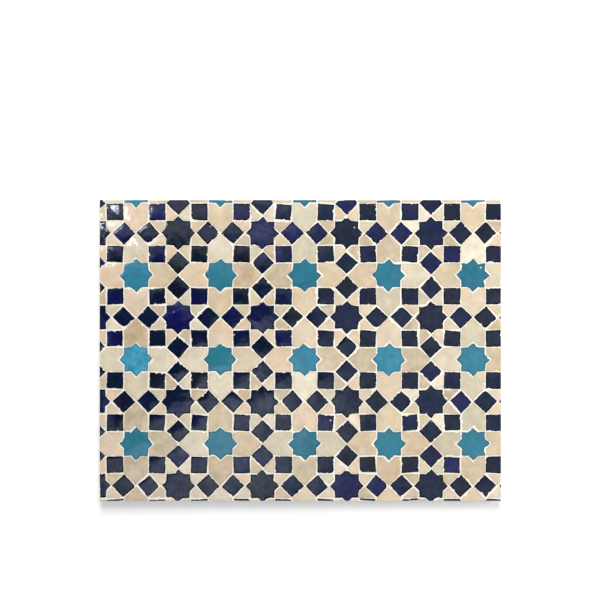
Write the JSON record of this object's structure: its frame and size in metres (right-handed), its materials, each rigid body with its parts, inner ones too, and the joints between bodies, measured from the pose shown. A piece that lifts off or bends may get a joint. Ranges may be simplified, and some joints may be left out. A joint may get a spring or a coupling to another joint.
{
  "type": "moroccan mosaic tile panel",
  "caption": "Rectangular mosaic wall tile panel of hand-cut glazed stars, squares, diamonds and fillers set in a white plaster bed, for facing a wall, floor or table top.",
  "frame": {"origin": "centre of the flat plaster back, on which the panel lies", "axes": "+X along the long edge, +Y up the face as it would hang on a wall, +Z out of the glazed face"},
  "size_m": [0.6, 0.45, 0.022],
  "materials": {
    "cobalt_glaze": "glossy hand-dipped glaze",
    "turquoise_glaze": "glossy hand-dipped glaze",
    "cream_glaze": "satin hand-dipped glaze",
    "white_plaster": "wiped matt plaster"
  },
  "bodies": {
    "root": {"cobalt_stars": "cobalt_glaze", "cobalt_squares": "cobalt_glaze", "cobalt_diamonds": "cobalt_glaze", "turquoise_stars": "turquoise_glaze", "cream_shields": "cream_glaze", "cream_kites": "cream_glaze", "plaster_bed": "white_plaster"}
  },
  "joints": []
}
